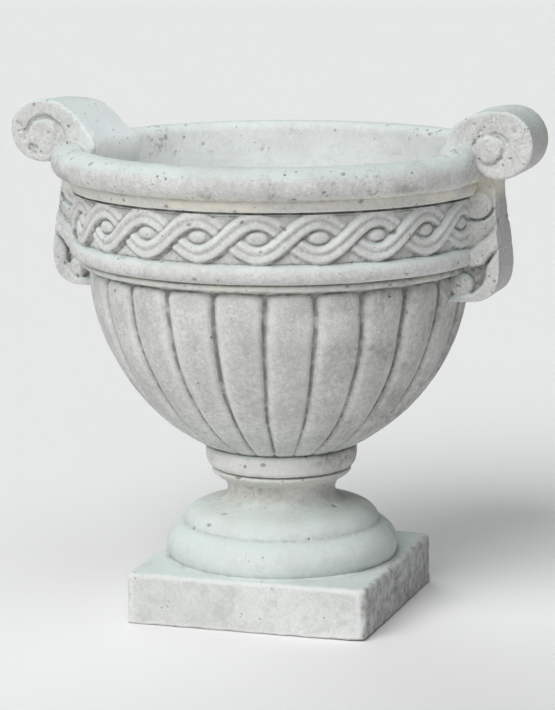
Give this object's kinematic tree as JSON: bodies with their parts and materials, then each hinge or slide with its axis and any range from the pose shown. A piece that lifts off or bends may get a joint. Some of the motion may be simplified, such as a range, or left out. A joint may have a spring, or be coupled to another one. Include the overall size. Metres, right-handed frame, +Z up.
{
  "type": "urn planter",
  "caption": "Cast-stone footed urn planter with a gadrooned bowl, a guilloche frieze, scroll handles with leaf consoles, a round socle and a square plinth.",
  "frame": {"origin": "centre of the plinth's flat underside", "axes": "+Z up through the bowl, X through the two scroll handles, Y across the bowl"},
  "size_m": [0.4916, 0.413, 0.4655],
  "materials": {
    "cast_stone": "weathered pale cast stone, matt, with fine pores and dirt in the hollows",
    "mortar": "raked lime mortar, matt",
    "dowel_steel": "plain stainless rod"
  },
  "bodies": {
    "root": {"plinth": "cast_stone", "socle": "cast_stone", "bowl": "cast_stone", "scroll_handle_right": "cast_stone", "scroll_handle_left": "cast_stone", "leaf_console_right": "cast_stone", "leaf_console_left": "cast_stone", "lower_mortar_bed": "mortar", "upper_mortar_bed": "mortar", "socle_dowel_1": "dowel_steel", "socle_dowel_2": "dowel_steel", "socle_dowel_3": "dowel_steel", "handle_pin_right_1": "dowel_steel", "handle_pin_right_2": "dowel_steel", "console_pin_right_1": "dowel_steel", "console_pin_right_2": "dowel_steel", "handle_pin_left_1": "dowel_steel", "handle_pin_left_2": "dowel_steel", "console_pin_left_1": "dowel_steel", "console_pin_left_2": "dowel_steel"}
  },
  "joints": []
}
